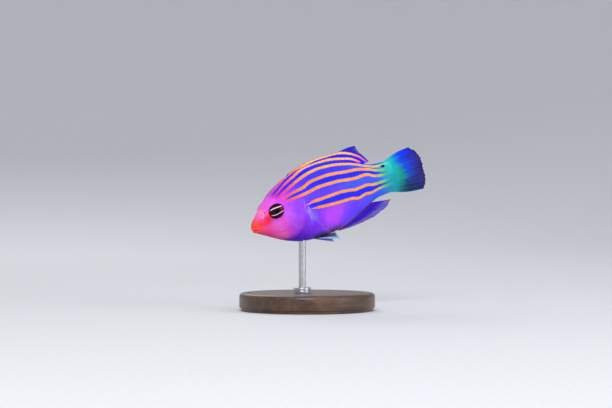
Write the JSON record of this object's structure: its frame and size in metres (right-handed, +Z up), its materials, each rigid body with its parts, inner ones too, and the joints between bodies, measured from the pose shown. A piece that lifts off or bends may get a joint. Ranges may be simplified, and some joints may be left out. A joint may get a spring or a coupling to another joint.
{
  "type": "six-line wrasse model",
  "caption": "Still life-size model of a six-line wrasse swimming head down, held by a steel rod on a round wooden display base.",
  "frame": {"origin": "centre of the flat underside of the round base", "axes": "+X from the head toward the tail, +Y toward the fish's right flank, +Z up, the row standing on Z 0"},
  "size_m": [0.0758, 0.046, 0.0562],
  "materials": {
    "head_skin": "satin painted skin, magenta and violet with an orange snout",
    "flank_skin": "satin painted scales, violet blue with yellow orange stripes",
    "stem_skin": "satin painted scales, blue turning green with a dark spot",
    "dorsal_membrane": "blue translucent fin with an orange band",
    "anal_membrane": "blue violet translucent fin",
    "tail_membrane": "blue green translucent fin",
    "clear_membrane": "almost clear fin",
    "pelvic_membrane": "pale blue translucent fin",
    "eye_gloss": "polished, dark red and black with two white lines",
    "stand_wood": "dark stained wood, satin varnish",
    "stand_steel": "brushed"
  },
  "bodies": {
    "root": {"head": "head_skin", "torso": "flank_skin", "tail_stem": "stem_skin", "dorsal_fin": "dorsal_membrane", "anal_fin": "anal_membrane", "tail_fin": "tail_membrane", "pectoral_fin_left": "clear_membrane", "pectoral_fin_right": "clear_membrane", "pelvic_fin_left": "pelvic_membrane", "pelvic_fin_right": "pelvic_membrane", "eye_left": "eye_gloss", "eye_right": "eye_gloss", "stand_base": "stand_wood", "stand_rod": "stand_steel", "stand_collar": "stand_steel"}
  },
  "joints": []
}
